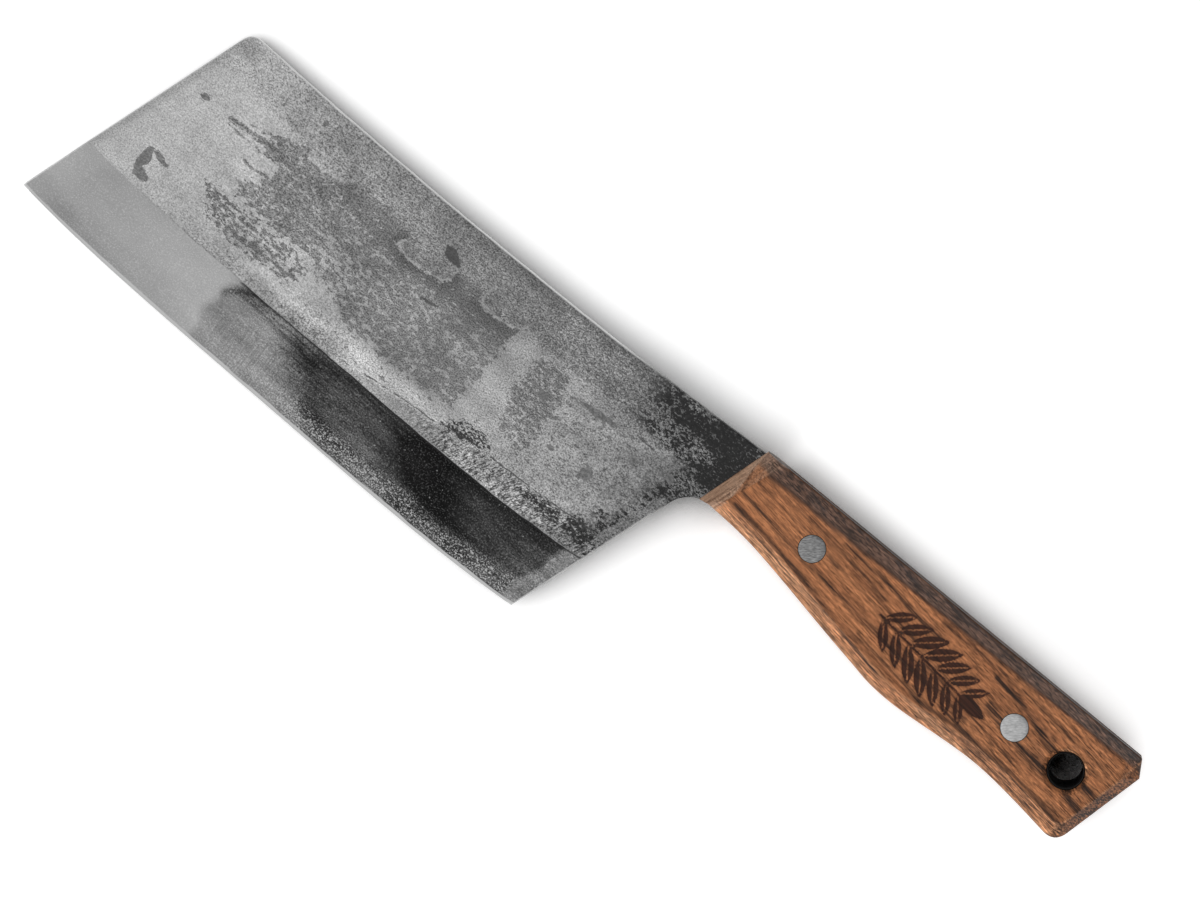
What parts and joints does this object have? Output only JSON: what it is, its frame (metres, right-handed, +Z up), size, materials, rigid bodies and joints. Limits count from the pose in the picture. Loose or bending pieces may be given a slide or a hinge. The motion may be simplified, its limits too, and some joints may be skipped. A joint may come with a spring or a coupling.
{
  "type": "cleaver",
  "caption": "Forged kitchen cleaver with a slanted rectangular blade, ground bevel and full tang, riveted wooden scales and a hanging hole near the butt.",
  "frame": {"origin": "on the table, under the middle of the knife's box", "axes": "+X from the blade's front towards the butt of the handle, +Y from the cutting edge towards the spine, +Z up from the table that the knife lies on"},
  "size_m": [0.3194, 0.0742, 0.0252],
  "materials": {
    "blade_steel": "grey forge scale above a ground and polished bevel",
    "handle_wood": "oiled walnut with dark streaks",
    "rivet_metal": "sanded flush",
    "liner_black": "satin black"
  },
  "bodies": {
    "root": {"blade": "blade_steel", "upper_scale": "handle_wood", "lower_scale": "handle_wood", "front_rivet_sleeve": "rivet_metal", "front_rivet_pin": "rivet_metal", "rear_rivet_sleeve": "rivet_metal", "rear_rivet_pin": "rivet_metal", "lanyard_tube": "liner_black"}
  },
  "joints": []
}
